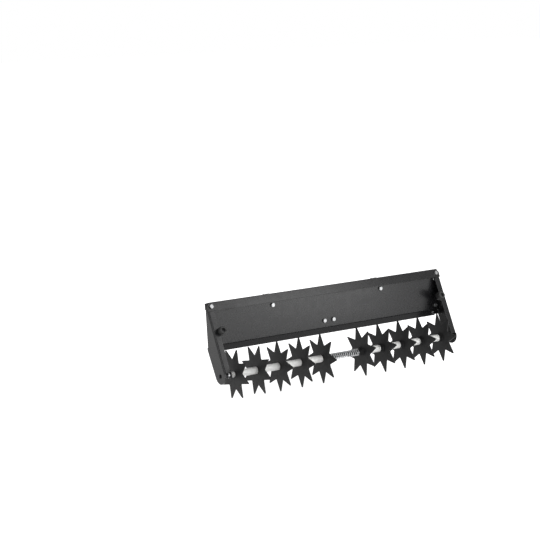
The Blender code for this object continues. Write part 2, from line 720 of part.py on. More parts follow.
for side, end in ((-1, "left"), (1, "right")):
    # Groups on the axle: the collars face the spring
    for k in range(stars_per_side):
        x = first_star_x + k * star_pitch
        number = stars_per_side - k if side < 0 else stars_per_side + 1 + k
        turn = Matrix.Rotation(math.radians(star_turns[(number - 1) % len(star_turns)]), 4, "X")
        add_part(f"star_wheel_{number}", star, star_steel, turn @ along_axle(side * x, -side))
        if k < stars_per_side - 1:
            number = stars_per_side - 1 - k if side < 0 else stars_per_side + k
            low = x + star_t / 2 + clearance
            add_part(f"spacer_tube_{number}", spacer, white_plastic, along_axle(side * low, side))
    add_part(f"end_spacer_{end}", end_spacer, white_plastic, along_axle(side * end_spacer_x, side))
    add_part(f"spring_seat_{end}", seat, black_plastic, along_axle(side * seat_x, side))

    # Fixed on the shaft and in the plate
    add_part(f"stop_washer_{end}", washer, black_plastic, along_axle(side * washer_x, side))
    add_part(f"roll_pin_{end}", pin, zinc, Matrix.Translation((side * pin_x, 0, 0)))
    add_part(f"plate_bush_{end}", bush, black_plastic, along_axle(side * boss_x, side))

    # Hooks and their bolts
    add_part(f"hanger_hook_{end}", hook, powder_coat, Matrix.Translation((side * hook_x, 0, 0)), smooth=False)
    bolts = (("hook", hook_x, hook_bolt_z), ("latch", latch_bolt_x, latch_bolt_z))
    for kind, x, z in bolts:
        head_at = back_line(z, panel_face - clearance)
        add_part(f"{kind}_bolt_{end}", through_bolt, zinc, facing(side * x, head_at, -back_out))
        add_part(f"{kind}_nut_{end}", nut, zinc, facing(side * x, back_line(z, clearance), back_out))

    # Strip to front flange
    head_at = front_line(corner_bolt_up, sheet_t + 2 * clearance)
    add_part(f"corner_bolt_{end}", through_bolt, zinc, facing(side * corner_bolt_x, head_at, slope_out))
    nut_at = front_line(corner_bolt_up, -plate_t - clearance)
    add_part(f"corner_nut_{end}", nut, zinc, facing(side * corner_bolt_x, nut_at, -slope_out))

    # Panel and lip to rear flange
    for level, z in tab_bolt_zs.items():
        head_at = back_line(z, panel_face - clearance)
        add_part(f"tab_bolt_{end}_{level}", tab_bolt, zinc, facing(side * tab_bolt_x, head_at, -back_out))
    head_at = panel_foot + lip_down * lip_screw_down + lip_front * clearance
    add_part(f"lip_screw_{end}", lip_screw, zinc, facing(side * lip_screw_x, head_at, lip_front))

    # Buffer
    buffer_at = front_line(buffer_up, clearance)
    add_part(f"rubber_buffer_{end}", buffer, rubber, facing(side * buffer_x, buffer_at, slope_out))
    screw_at = front_line(buffer_up, 2 * clearance + buffer_len - buffer_recess)
    add_part(f"buffer_screw_{end}", buffer_screw, black_zinc, facing(side * buffer_x, screw_at, slope_out))

spring_len = 2 * (seat_x - clearance)
spring = evaluated_mesh(temporary(spring_curve(spring_len)))
add_part("compression_spring", spring, zinc, along_axle(-spring_len / 2, 1))
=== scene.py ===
import json
import math

import bmesh
import bpy
import numpy as np
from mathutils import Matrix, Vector


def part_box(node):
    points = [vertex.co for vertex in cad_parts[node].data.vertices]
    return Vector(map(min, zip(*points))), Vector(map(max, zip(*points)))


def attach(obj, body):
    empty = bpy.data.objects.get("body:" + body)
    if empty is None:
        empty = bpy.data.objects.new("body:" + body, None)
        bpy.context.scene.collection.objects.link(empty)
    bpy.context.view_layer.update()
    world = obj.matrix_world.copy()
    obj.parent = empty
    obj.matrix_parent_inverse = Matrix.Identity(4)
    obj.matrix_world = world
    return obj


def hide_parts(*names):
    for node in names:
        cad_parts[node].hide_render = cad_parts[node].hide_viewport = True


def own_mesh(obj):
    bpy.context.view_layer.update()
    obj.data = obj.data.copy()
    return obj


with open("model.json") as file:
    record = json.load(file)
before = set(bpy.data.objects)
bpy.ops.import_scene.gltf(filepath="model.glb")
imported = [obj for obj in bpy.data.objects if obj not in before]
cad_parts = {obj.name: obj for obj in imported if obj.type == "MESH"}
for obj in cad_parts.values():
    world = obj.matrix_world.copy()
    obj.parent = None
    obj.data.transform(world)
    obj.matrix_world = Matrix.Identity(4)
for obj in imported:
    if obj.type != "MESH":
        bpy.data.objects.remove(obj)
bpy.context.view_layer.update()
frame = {"nodes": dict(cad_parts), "record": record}
print("frame loaded:", len(frame["nodes"]), "nodes")

# All sizes are in metres. x runs along the axle, and side views are (y, z) pairs, both from the middle of
# the axle; the front, where the stars show, is -y.
shaftBox = np.array([list(corner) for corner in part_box("axle_shaft")])
axle = shaftBox.mean(axis=0)
halfWidth = float(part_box("right_end_plate")[1].x)
bodyOf = {node: body for body, nodes in frame["record"]["behaviour"]["bodies"].items() for node in nodes}
slotOf = {part["node"]: part["material_slot"] for part in frame["record"]["subparts"]}
ends = (("left", -1), ("right", 1))
gap = 0.0003  # between faces that bear on each other


# Materials. Colours are sRGB hex values, turned to linear light here and nowhere else
def linear(hexColour):
    values = [int(hexColour[k:k + 2], 16) / 255 for k in (1, 3, 5)]
    return [v / 12.92 if v <= 0.04045 else ((v + 0.055) / 1.055) ** 2.4 for v in values] + [1.0]


# Adds one node: its settings by socket or property name, and its links as {input: (node, output)}
def addNode(tree, kind, settings=(), links=()):
    node = tree.nodes.new("ShaderNode" + kind)
    for key, value in dict(settings).items():
        if isinstance(key, int) or key in node.inputs:
            node.inputs[key].default_value = value
        else:
            setattr(node, key, value)
    for key, (source, output) in dict(links).items():
        tree.links.new(source.outputs[output], node.inputs[key])
    return node


# A node's output taken from one range to another
def mapRange(tree, source, output, low, high, toLow=0, toHigh=1, kind="LINEAR"):
    settings = {"From Min": low, "From Max": high, "To Min": toLow, "To Max": toHigh}
    settings["interpolation_type"] = kind
    return addNode(tree, "MapRange", settings, {"Value": (source, output)})


# A noise pattern with features of this many millimetres, on places that a node gives in metres
def noisePattern(tree, place, size, detail, output="Object"):
    return addNode(tree, "TexNoise", {"Scale": 1000 / size, "Detail": detail}, {"Vector": (place, output)})


# A material with its shader set up; the patterns are linked in afterwards
def newMaterial(name, settings):
    material = bpy.data.materials.new(name)
    material.use_nodes = True
    tree = material.node_tree
    shader = tree.nodes["Principled BSDF"]
    for key, value in settings.items():
        shader.inputs[key].default_value = value
    place = addNode(tree, "TexCoord")
    return material, tree, shader, place


# Colour between two tones by a noise pattern, into the shader's base colour; returns the ramp that holds it
def mottle(tree, shader, place, darker, lighter, size):
    noise = noisePattern(tree, place, size, 3.0)
    ramp = addNode(tree, "ValToRGB", links={"Fac": (noise, "Fac")})
    low, high = ramp.color_ramp.elements
    low.position, low.color = 0.35, linear(darker)
    high.position, high.color = 0.65, linear(lighter)
    tree.links.new(ramp.outputs["Color"], shader.inputs["Base Color"])
    return ramp


# Roughness between two values by a noise pattern
def patchyRoughness(tree, shader, place, low, high, size):
    span = mapRange(tree, noisePattern(tree, place, size, 2.0), "Fac", 0.3, 0.7, low, high)
    tree.links.new(span.outputs["Result"], shader.inputs["Roughness"])


# Bump of this height in millimetres by a noise pattern
def bumpBy(tree, shader, noise, height):
    bump = addNode(tree, "Bump", {"Distance": height / 1000}, {"Height": (noise, "Fac")})
    tree.links.new(bump.outputs["Normal"], shader.inputs["Normal"])


# Polyester powder coat over steel, satin black: a dark even colour, a soft sheen and a faint orange peel
def makePowderCoat():
    material, tree, shader, place = newMaterial("satin powder coat", {"Metallic": 0.0, "IOR": 1.42})
    mottle(tree, shader, place, "#141415", "#18181a", 9.0)
    patchyRoughness(tree, shader, place, 0.24, 0.3, 25.0)
    peel = noisePattern(tree, place, 2.2, 1.0)
    bumpBy(tree, shader, peel, 0.009)
    return material


# Laser-cut steel plate in matt black paint: flatter than the powder coat, with a fine grain
def makeStarBlack():
    material, tree, shader, place = newMaterial("matt black paint", {"Metallic": 0.0, "IOR": 1.38})
    mottle(tree, shader, place, "#121213", "#171718", 7.0)
    patchyRoughness(tree, shader, place, 0.5, 0.6, 12.0)
    grain = noisePattern(tree, place, 0.8, 2.0)
    bumpBy(tree, shader, grain, 0.02)
    return material


# Bright zinc plating on fasteners: a pale metal, slightly cloudy where the crystals differ
def makeZinc():
    material, tree, shader, place = newMaterial("bright zinc plate", {"Metallic": 1.0})
    mottle(tree, shader, place, "#9a9b9c", "#b0b1b2", 1.6)
    patchyRoughness(tree, shader, place, 0.24, 0.38, 1.2)
    return material


# Black passivated zinc on the buffer screws: a dark metal with a little sheen
def makeBlackZinc():
    material, tree, shader, place = newMaterial("black passivated zinc", {"Metallic": 1.0})
    mottle(tree, shader, place, "#2a2a2b", "#353536", 1.6)
    patchyRoughness(tree, shader, place, 0.3, 0.42, 1.2)
    return material


# Drawn steel bar under thin plating: fine lines round it from drawing and turning, and a painted shade on
# the bar inside the spring, where the coils shade it
def makeBrightBar():
    paintedShadeEnd = (0.071, 0.075)  # from the middle of the bar: the painted shade fades out between these
    material, tree, shader, place = newMaterial("drawn steel bar", {"Metallic": 1.0, "Roughness": 0.35})
    plating = mottle(tree, shader, place, "#c3c4c5", "#d8d9da", 3.0)
    parts = addNode(tree, "SeparateXYZ", links={"Vector": (place, "Object")})
    fromMiddle = addNode(tree, "Math", {"operation": "ABSOLUTE"}, {0: (parts, "X")})
    unshaded = mapRange(tree, fromMiddle, "Value", *paintedShadeEnd)
    # The Mix node's colours are its inputs 6 and 7 and its output 2
    # Painted shade: the bar's colour goes dark inside the spring
    paintedShadeMix = addNode(tree, "Mix", {"data_type": "RGBA", 6: linear("#3a3b3c")},
                      {"Factor": (unshaded, "Result"), 7: (plating, "Color")})
    tree.links.new(paintedShadeMix.outputs[2], shader.inputs["Base Color"])
    spread = addNode(tree, "Mapping", {"Scale": (8.0, 0.6, 0.6)}, {"Vector": (place, "Object")})
    lines = noisePattern(tree, spread, 2.4, 2.0, "Vector")
    bumpBy(tree, shader, lines, 0.008)
    return material


# Patented spring wire, zinc plated and a little dull from coiling
def makeSpringWire():
    material, tree, shader, place = newMaterial("plated spring wire", {"Metallic": 1.0})
    mottle(tree, shader, place, "#b2b3b4", "#cbccce", 2.5)
    patchyRoughness(tree, shader, place, 0.24, 0.36, 2.0)
    return material


# Extruded natural polyamide tube: milky white, faint draw lines along it, light going a little way in
def makeWhiteTube():
    material, tree, shader, place = newMaterial("natural polyamide tube", {
        "IOR": 1.53, "Roughness": 0.36, "Subsurface Weight": 0.15,
        "Subsurface Radius": (1.0, 1.0, 1.0), "Subsurface Scale": 0.002})
    mottle(tree, shader, place, "#ececea", "#f4f4f2", 12.0)
    stretch = addNode(tree, "Mapping", {"Scale": (0.04, 1.0, 1.0)}, {"Vector": (place, "Object")})
    lines = noisePattern(tree, stretch, 0.9, 2.0, "Vector")
    bumpBy(tree, shader, lines, 0.012)
    return material


# Moulded black polyamide: matt spark-eroded grain
def makeBlackPlastic():
    material, tree, shader, place = newMaterial("moulded black polyamide", {"IOR": 1.53, "Roughness": 0.45})
    mottle(tree, shader, place, "#18181a", "#1e1e20", 4.0)
    grain = noisePattern(tree, place, 0.35, 2.0)
    bumpBy(tree, shader, grain, 0.02)
    return material


# Moulded black rubber: soft dull surface with a dusty bloom
def makeRubber():
    material, tree, shader, place = newMaterial("moulded rubber", {"IOR": 1.52, "Roughness": 0.62})
    mottle(tree, shader, place, "#1a1a1a", "#272727", 6.0)
    grain = noisePattern(tree, place, 0.5, 3.0)
    bumpBy(tree, shader, grain, 0.03)
    return material


finishes = {
    "powder_coat": makePowderCoat(),
    "star_steel": makeStarBlack(),
    "zinc_plate": makeZinc(),
    "black_zinc": makeBlackZinc(),
    "bright_steel": makeBrightBar(),
    "spring_steel": makeSpringWire(),
    "white_plastic": makeWhiteTube(),
    "black_plastic": makeBlackPlastic(),
    "rubber": makeRubber(),
}
print("materials:", len(finishes))


# Arrays spread over one shape and stacked as its last axis, as (x, y, z) points are
def together(*parts):
    return np.stack(np.broadcast_arrays(*parts), -1)


# Surfaces. The cell (i, j) of a grid is one face, on its points (i, j), (i, j+1), (i+1, j+1) and (i+1, j)
def gridFaces(rows, columns, closeRows=False, closeColumns=False, keep=None):
    i = np.arange(rows if closeRows else rows - 1)[:, None]
    j = np.arange(columns if closeColumns else columns - 1)[None, :]
    nextI, nextJ = (i + 1) % rows, (j + 1) % columns
    corners = (i * columns + j, i * columns + nextJ, nextI * columns + nextJ, nextI * columns + j)
    cells = together(*corners)
    return cells.reshape(-1, 4) if keep is None else cells[keep]


# A grid from an array of points with two parameters first
def grid(points, closeRows=False, closeColumns=False, keep=None):
    rows, columns = points.shape[:2]
    return points.reshape(-1, 3), gridFaces(rows, columns, closeRows, closeColumns, keep)


# A path with rounded corners: each corner becomes the arc that touches both its sides
def rounded(corners, radii, steps=6, closed=False):
    corners = np.asarray(corners, float)
    path = []
    for k, (corner, radius) in enumerate(zip(corners, np.broadcast_to(radii, len(corners)))):
        if radius == 0 or (not closed and k in (0, len(corners) - 1)):
            path.append(corner[None])
            continue
        back, on = corners[k - 1] - corner, corners[(k + 1) % len(corners)] - corner
        back, on = back / np.linalg.norm(back), on / np.linalg.norm(on)
        half = math.acos(back @ on) / 2
        centre = corner + (back + on) / np.linalg.norm(back + on) * radius / math.sin(half)
        first = corner + back * radius / math.tan(half) - centre
        last = corner + on * radius / math.tan(half) - centre
        sweep = math.atan2(first[0] * last[1] - first[1] * last[0], first @ last)
        turn = sweep * np.linspace(0, 1, steps + 1)
        across = np.array([-first[1], first[0]])
        path.append(centre + np.cos(turn)[:, None] * first + np.sin(turn)[:, None] * across)
    return np.concatenate(path)


# The points of a path of the side view at these stations, given its own points' stations
def pointsAt(stations, own, path):
    return together(*(np.interp(stations, own, path[:, k]) for k in (0, 1)))


# A profile of (radius, height) points turned about its height: (r cos a, r sin a, h) for a right round
def turned(profile, steps=48):
    profile = np.asarray(profile, float)
    angle = np.linspace(0, 2 * np.pi, steps, endpoint=False)[:, None]
    radius, height = profile[:, 0], profile[:, 1]
    points = together(radius * np.cos(angle), radius * np.sin(angle), height)
    return grid(points, closeRows=True, closeColumns=profile[0, 0] > 0)


# A grid's own x and y turned about its height by an angle
def turnedBy(points, turn):
    cosine, sine = math.cos(turn), math.sin(turn)
    return points[:, 0] * cosine - points[:, 1] * sine, points[:, 0] * sine + points[:, 1] * cosine


# A grid set along the axle: its height runs from x towards this side, and its own x looks up
def onAxle(shape, x, side, turn=0.0):
    points, faces = shape
    a, b = turnedBy(points, turn)
    return together(x + side * points[:, 2], -b, a), faces


# A grid set with its height along a direction of the side view
def facing(shape, x, place, direction, turn=0.0):
    points, faces = shape
    a, b = turnedBy(points, turn)
    y = place[0] + b * direction[1] + points[:, 2] * direction[0]
    z = place[1] - b * direction[0] + points[:, 2] * direction[1]
    return together(x + a, y, z), faces


# One mesh from grids: doubles merged, faces turned outwards
def meshFrom(name, shapes):
    points, faces, count = [], [], 0
    for shapePoints, shapeFaces in shapes:
        points.append(shapePoints)
        faces.append(shapeFaces + count)
        count += len(shapePoints)
    mesh = bpy.data.meshes.new(name)
    mesh.from_pydata((np.concatenate(points) + axle).tolist(), [], np.concatenate(faces).tolist())
    bm = bmesh.new()
    bm.from_mesh(mesh)
    bmesh.ops.remove_doubles(bm, verts=bm.verts, dist=2e-6)
    bmesh.ops.recalc_face_normals(bm, faces=bm.faces)
    bm.to_mesh(mesh)
    bm.free()
    return mesh


# A new object in the scene
def newObject(name, data):
    made = bpy.data.objects.new(name, data)
    bpy.context.scene.collection.objects.link(made)
    return made


# The finished piece for a node: it takes the node's body, slot and material, and stands for it
def addPiece(node, mesh, sharp=32, suffix=""):
    piece = newObject(node + "_form" + suffix, mesh)
    mesh.materials.append(finishes[slotOf[node]])
    mesh.shade_smooth()
    mesh.set_sharp_from_angle(angle=math.radians(sharp))
    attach(piece, bodyOf[node])
    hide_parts(node)
    return piece


# A piece straight from its grids
def addShapes(node, shapes, sharp=32):
    addPiece(node, meshFrom(node + "_form", shapes), sharp)


# The mesh as its modifiers leave it
def settle(piece):
    graph = bpy.context.evaluated_depsgraph_get()
    mesh = bpy.data.meshes.new_from_object(piece.evaluated_get(graph))
    piece.modifiers.clear()
    old, piece.data = piece.data, mesh
    bpy.data.meshes.remove(old)


# A modifier with its settings
def modify(piece, name, kind, **settings):
    modifier = piece.modifiers.new(name, kind)
    for key, value in settings.items():
        setattr(modifier, key, value)


# Sheet from an open surface: thickness on one side of it, holes drilled, then small round edges
def makeSheet(piece, thickness, offset, edge, drills=()):
    modify(piece, "thickness", "SOLIDIFY", thickness=thickness, offset=offset,
           use_even_offset=True, use_quality_normals=True)
    cutters = [newObject("drill", meshFrom("drill", [drill])) for drill in drills]
    for cutter in cutters:
        modify(piece, "hole", "BOOLEAN", operation="DIFFERENCE", object=cutter)
    settle(piece)
    for cutter in cutters:
        bpy.data.objects.remove(cutter)
    modify(piece, "edges", "BEVEL", width=edge, segments=2, limit_method="ANGLE",
           angle_limit=math.radians(40), use_clamp_overlap=False)
    modify(piece, "normals", "WEIGHTED_NORMAL", keep_sharp=False)
    settle(piece)


# The side view: the lines of the front flange and of the rear flange, both from upright
side = {
    "slope": math.radians(27.5), "lean": math.radians(6.0), "lobeCentre": np.array([0.001, 0.002]),
    "lobeR": 0.0296, "frontLen": 0.2425, "crestOver": 0.0019,
}
panel = {
    "sheet": 0.0025, "lipSlope": math.radians(42.5), "lipLength": 0.0183, "lipBend": 0.003,
    "lipBendZ": 0.082, "hemBend": 0.0008, "hemSteps": 12, "strip": 0.0304, "lipIn": 0.0305,
    "notchIn": 0.032, "notchDown": 0.0281,
    "cornerCut": (0.011, 0.013),  # off the strip's outer upper corners, across and down its slope
    "slit": 0.4525,  # between the slits at the tabs the lip starts behind the face
    "stepUp": 0.0046, "lipRise": 0.0032, "riseBend": 0.0012, "edge": 0.0004,
}
plate = {
    "thick": 0.004, "bend": 0.0055, "relief": 0.001, "frontFlange": 0.024, "rearFlange": 0.046,
    "rearTopDown": 0.0266, "rearCornerDown": 0.009, "tabLength": 0.015, "ear": 0.014,
    "earFillet": 0.005, "bushHole": 0.0081, "edge": 0.0006,
}
buffer = {
    "in": 0.029, "up": 0.1413, "r": 0.013, "len": 0.0195, "recessR": 0.0065, "recess": 0.006,
    "bore": 0.0033,
}


# The direction in the side view that leans back from upright by this angle
def towards(angle):
    return np.array([math.sin(angle), math.cos(angle)])


slopeUp = towards(side["slope"])
slopeOut = np.array([-slopeUp[1], slopeUp[0]])
backUp = towards(side["lean"])
backOut = np.array([backUp[1], -backUp[0]])
lipDown = -towards(panel["lipSlope"])
lipFront = np.array([lipDown[1], -lipDown[0]])


# A place this far up the front fold from the lobe, and out of its face
def frontLine(up, out=0.0):
    up, out = np.asarray(up)[..., None], np.asarray(out)[..., None]
    return side["lobeCentre"] + slopeOut * (side["lobeR"] + out) + slopeUp * up


# The panel's front face, from the rear flange's outer face
panelFace = -(plate["thick"] + gap + panel["sheet"])
crest = frontLine(side["frontLen"] + side["crestOver"], gap)
crestBack = crest - backOut * panelFace


# The rear flange's outer face at this height, and then out of it
def backLine(z, out=0.0):
    z, out = np.asarray(z)[..., None], np.asarray(out)[..., None]
    return crestBack + backUp * ((z - crestBack[1]) / backUp[1]) + backOut * out


# Where two lines of the side view cross
def meeting(point, direction, other, otherDirection):
    across = direction[0] * otherDirection[1] - direction[1] * otherDirection[0]
    apart = other - point
    return point + direction * ((apart[0] * otherDirection[1] - apart[1] * otherDirection[0]) / across)


foot = backLine(panel["lipBendZ"], panelFace)  # where the lip bends off
rearCorner = backLine(panel["lipBendZ"] - plate["rearCornerDown"])
rearTop = crest[1] - plate["rearTopDown"]
faceEnd = halfWidth - plate["bend"] - gap


# Panel: the path of its front face (lip, face, hem, strip) drawn out along the axle, cut to length by rows.
# Between the slits the face ends a little above the bend, and the lip runs on straight, up behind the face
def makePanel():
    lipArc = rounded([foot + lipDown * panel["lipLength"], foot, crest], panel["lipBend"])[:-1]
    strip = frontLine(side["frontLen"] - panel["strip"], gap)
    cutEnd = crest - slopeUp * panel["cornerCut"][1]
    hem = rounded([foot, crest, strip], panel["hemBend"], panel["hemSteps"])
    lipTop, notchZ = foot[1] + panel["stepUp"], crest[1] - panel["notchDown"]
    heights = np.array([lipTop, (lipTop + notchZ) / 2, notchZ])
    face = foot + backUp * ((heights - foot[1]) / backUp[1])[:, None]
    path = np.concatenate([lipArc, face, hem[1:-1], [cutEnd], hem[-1:]])
    rows = np.arange(len(path) - 1)  # one for each stretch between two points of the path
    firstFace, hemMiddle = len(lipArc), len(lipArc) + len(face) + panel["hemSteps"] // 2
    lipEnd, notch = halfWidth - panel["lipIn"], halfWidth - panel["notchIn"]
    below = [rows < firstFace - 1, rows < firstFace + 2, rows < hemMiddle]
    width = np.select(below, [lipEnd, faceEnd, notch], halfWidth)
    steps = np.array([halfWidth, faceEnd, lipEnd, notch, panel["slit"]])
    between = np.linspace(-0.44, 0.44, 17)
    x = np.unique(np.concatenate([steps, -steps, between]))
    middle = np.abs(x[1:] + x[:-1])[None, :] / 2
    slitRows = (rows[:, None] > 0) & (rows[:, None] < firstFace)
    keep = (middle < width[:, None]) & ~(slitRows & (middle < panel["slit"]))
    across, down = panel["cornerCut"]
    limit = halfWidth - across * np.clip(1 - (crest - path) @ slopeUp / down, 0, 1)
    limit[:hemMiddle] = halfWidth
    rowX = np.clip(x[None, :], -limit[:, None], limit[:, None])
    points = together(rowX, path[:, :1], path[:, 1:])

    behind = panel["sheet"] + gap
    inner = meeting(foot, lipDown, foot + backOut * behind, backUp)
    lipRise = rounded([lipArc[1], inner, inner + backUp * panel["lipRise"]], panel["riseBend"], 4)
    midX = x[np.abs(x) <= panel["slit"] + 1e-9]
    rise = together(midX[None, :], lipRise[:, :1], lipRise[:, 1:])
    mesh = meshFrom("main_panel_form", [grid(points, keep=keep), grid(rise)])
    turnTo(mesh, (0, -1, 0))
    piece = addPiece("main_panel", mesh)
    makeSheet(piece, panel["sheet"], -1, panel["edge"])


# Turns an open surface so that its faces, taken together, look this way
def turnTo(mesh, direction):
    normals = np.empty(len(mesh.polygons) * 3, np.float32)
    areas = np.empty(len(mesh.polygons), np.float32)
    mesh.polygons.foreach_get("normal", normals)
    mesh.polygons.foreach_get("area", areas)
    if (normals.reshape(-1, 3) * areas[:, None]).sum(axis=0) @ np.array(direction) < 0:
        mesh.flip_normals()


# Fold and flange off the web: a quarter turn of the bend, then flat to the edge, at each place on the line
def foldedEdge(line, along, edges):
    bend = plate["bend"]
    turn = np.linspace(0, np.pi / 2, 9)
    foldX = np.broadcast_to(halfWidth - bend + bend * np.cos(turn), (len(along), len(turn)))
    x = np.concatenate([foldX, edges], 1)
    out = np.concatenate([bend * (np.sin(turn) - 1), np.zeros(edges.shape[1])])
    places = line(along[:, None], out)
    return grid(np.concatenate([x[..., None], places], -1))


# End plate: a web ruled between its front and rear edges, and a folded flange on each, as one open surface
def endPlateShapes():
    bend, relief, length = plate["bend"], plate["relief"], side["frontLen"]
    centre, radius = side["lobeCentre"], side["lobeR"]
    tabBend = meeting(backLine(0.0), backUp, foot + lipFront * panelFace, lipDown)
    tabEnd = tabBend + lipDown * plate["tabLength"]
    tabPath = rounded([backLine(rearTop), tabBend, tabEnd], panel["lipBend"] - panelFace, 8)[1:]
    lowZ = tabPath[0, 1]

    # Both edges of the web as points at their share of the way up; the fold starts at foldStart
    foldStart, step = 0.21, 0.004

    def share(up):
        return foldStart + (1 - foldStart) * up / length

    def lobe(angles):
        return centre + radius * together(np.cos(angles), np.sin(angles))

    reach = rearCorner - centre
    spread = math.acos(radius / np.linalg.norm(reach))
    touch = math.atan2(reach[1], reach[0]) - spread
    bottom = -math.pi / 2
    frontArc = lobe(np.linspace(bottom, -math.pi - side["slope"] + math.asin(relief / radius), 15))
    rearArc = lobe(np.linspace(bottom, touch, 9))
    lowShares = np.linspace(0, foldStart - 2 * step, len(frontArc))
    frontShares = np.concatenate([lowShares, [foldStart - step, foldStart, 1]])
    frontEdge = np.concatenate([frontArc, frontLine([-relief, 0, length], [-bend, -bend, -bend])])
    # Low down the lines across the web rise a little to the rear, and at the top they fall, off the reliefs
    levelZ = frontLine(0.0, -bend)[1] + 0.003
    lowShare = share((lowZ - levelZ) / slopeUp[1])
    cornerShare = share((rearCorner[1] - levelZ) / slopeUp[1])
    highShare = share((backLine(rearTop, -bend) - frontLine(0)) @ slopeUp)
    rearShares = np.concatenate([
        np.linspace(0, foldStart, 9),
        [cornerShare, lowShare - 2 * step, lowShare - step, lowShare],
        [highShare, highShare + step, highShare + 2 * step, 1],
    ])
    topCorner = meeting(frontLine(length), -slopeOut, rearCorner, backUp)
    rearEdge = np.concatenate([
        rearArc, rearCorner[None],
        backLine([lowZ - relief, lowZ - relief, lowZ], [0, -bend, -bend]),
        backLine([rearTop, rearTop + relief, rearTop + relief], [-bend, -bend, 0]),
        topCorner[None],
    ])

    # The ear that carries the buffer: an arc, with a fillet on each side down to the flange's edge
    turn = np.linspace(-np.pi / 2, np.pi / 2, 25)
    swell = halfWidth - plate["frontFlange"] - (halfWidth - buffer["in"])
    filletTurn = np.linspace(0, np.pi / 2, 7)
    filletUp = plate["ear"] + plate["earFillet"] * (1 - np.cos(filletTurn))
    filletX = swell * (1 - np.sin(filletTurn))
    earUp = np.concatenate([-filletUp[::-1], plate["ear"] * np.sin(turn)[1:-1], filletUp]) + buffer["up"]
    earX = np.concatenate([filletX[::-1], swell + plate["ear"] * np.cos(turn)[1:-1], filletX])

    shares = np.unique(np.round(np.concatenate([
        frontShares, rearShares, share(earUp), np.linspace(foldStart, 1, 12), [lowShare, highShare],
    ]), 9))
    left, right = pointsAt(shares, frontShares, frontEdge), pointsAt(shares, rearShares, rearEdge)
    across = np.linspace(0, 1, 9)[None, :, None]
    places = left[:, None] * (1 - across) + right[:, None] * across
    web = np.concatenate([np.full(places.shape[:2] + (1,), halfWidth), places], -1)

    ups = length * (shares[shares >= foldStart - 1e-9] - foldStart) / (1 - foldStart)
    frontEdgeX = halfWidth - plate["frontFlange"] - np.interp(ups, earUp, earX, left=0, right=0)
    part = np.linspace(0, 1, 7)[None, 1:]
    front = foldedEdge(frontLine, ups, (halfWidth - bend) * (1 - part) + frontEdgeX[:, None] * part)

    inRear = shares[(shares >= lowShare - 1e-8) & (shares <= highShare + 1e-8)]
    heights = lowZ + (rearTop - lowZ) * (inRear - lowShare) / (highShare - lowShare)
    flangeX = np.linspace(halfWidth - bend - relief, halfWidth - plate["rearFlange"], 8)
    rear = foldedEdge(backLine, heights, np.broadcast_to(flangeX, (len(heights), len(flangeX))))
    tab = together(flangeX[None, :], tabPath[:, :1], tabPath[:, 1:])
    return [grid(web), front, rear, grid(tab)]


# The plates are the same surface and its mirror image, with the bush's hole drilled through the web
def makeEndPlates():
    shapes = endPlateShapes()
    for end, hand in ends:
        mirror = np.array([hand, 1, 1])
        mesh = meshFrom(f"{end}_end_plate_form", [(points * mirror, faces) for points, faces in shapes])
        turnTo(mesh, (hand, 0, 0))
        piece = addPiece(f"{end}_end_plate", mesh)
        drill = turned([(0, 0.01), (plate["bushHole"], 0.01), (plate["bushHole"], -0.01), (0, -0.01)], 64)
        makeSheet(piece, plate["thick"], -1, plate["edge"], [onAxle(drill, hand * halfWidth, hand)])


# Hooks and latch: flat bar bent along a path. Its free corners are rounded in plan: rows near its ends are
# drawn in
hook = {
    "x": 0.233, "width": 0.024, "thick": 0.004, "bend": 0.002, "corner": 0.006, "edge": 0.0006,
    "boltDown": 0.0416, "footDown": 0.015, "seatUp": 0.029, "slot": 0.031, "tip": 0.025,
}
latch = {
    "width": 0.064, "thick": 0.004, "bend": 0.002, "corner": 0.008, "edge": 0.0006,
    "footUp": 0.008, "boltUp": 0.0195, "boltX": 0.0195, "tongueUp": 0.033, "tongue": 0.042,
}
hookBoltZ = crest[1] - hook["boltDown"]
latchFootZ = panel["lipBendZ"] + latch["footUp"]


# Rows stand at the bends and near both ends, where they follow the corner's quarter round
def bentBar(node, corners, x, bar):
    path = rounded(corners, bar["bend"], 8)
    corner = bar["corner"]
    length = np.concatenate([[0], np.cumsum(np.linalg.norm(np.diff(path, axis=0), axis=1))])
    inset = corner * (1 - np.cos(np.linspace(0, np.pi / 2, 8)))
    stations = np.unique(np.concatenate([length, inset, length[-1] - inset]).round(7))
    stations = stations[np.concatenate([[True], np.diff(stations) > 2e-5])]
    places = pointsAt(stations, length, path)
    near = np.clip(corner - np.minimum(stations, length[-1] - stations), 0, corner)
    half = bar["width"] / 2 - corner + np.sqrt(corner**2 - near**2)
    xs = x + half[:, None] * np.linspace(-1, 1, 9)
    points, faces = grid(together(xs, places[:, :1], places[:, 1:]))
    mesh = bpy.data.meshes.new(node + "_form")
    mesh.from_pydata((points + axle).tolist(), [], faces.tolist())
    piece = addPiece(node, mesh)
    makeSheet(piece, bar["thick"], 1, bar["edge"])


# A hook goes up the panel's back, over the rail and down again; the latch goes up and then out as a tongue
def makeBrackets():
    corner = backLine(hookBoltZ + hook["seatUp"])
    over = corner + np.array([hook["slot"], 0])
    path = [backLine(hookBoltZ - hook["footDown"]), corner, over, over - np.array([0, hook["tip"]])]
    for end, hand in ends:
        bentBar(f"hanger_hook_{end}", path, hand * hook["x"], hook)
    corner = backLine(latchFootZ + latch["tongueUp"])
    path = [backLine(latchFootZ), corner, corner + np.array([latch["tongue"], 0])]
    bentBar("latch_bracket", path, 0, latch)


